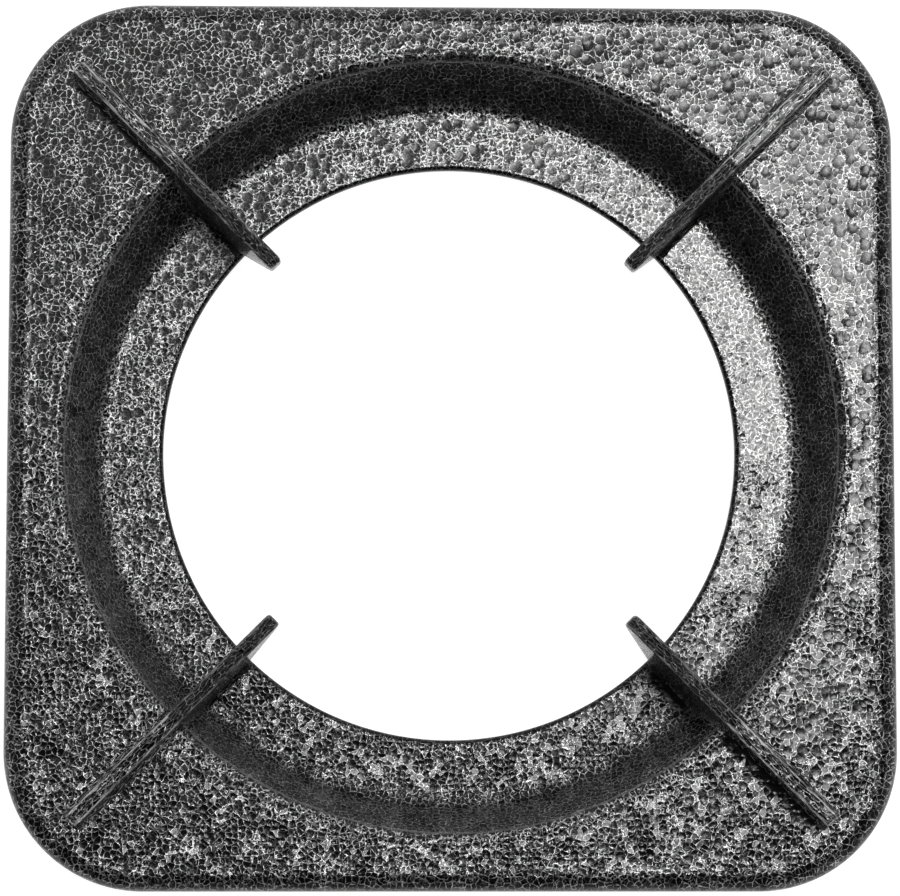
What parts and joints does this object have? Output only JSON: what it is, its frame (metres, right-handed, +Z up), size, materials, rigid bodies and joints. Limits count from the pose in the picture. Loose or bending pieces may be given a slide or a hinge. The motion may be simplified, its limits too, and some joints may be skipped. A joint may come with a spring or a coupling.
{
  "type": "wok ring",
  "caption": "Square cast wok ring with rounded corners, a sunk round dish with a wide burner hole, and upright ribs on the diagonals that hold a wok.",
  "frame": {"origin": "on the flat underside of the dish, on the axis of the centre hole", "axes": "+Z up along the axis of the hole, X and Y along the plate's sides, so the ribs lie on the diagonals"},
  "size_m": [0.3, 0.3, 0.055],
  "materials": {
    "hammered_coating": "glossy black coating with a hammered relief and a net of fine silver veins"
  },
  "bodies": {
    "root": {"wok_ring_casting": "hammered_coating"}
  },
  "joints": []
}
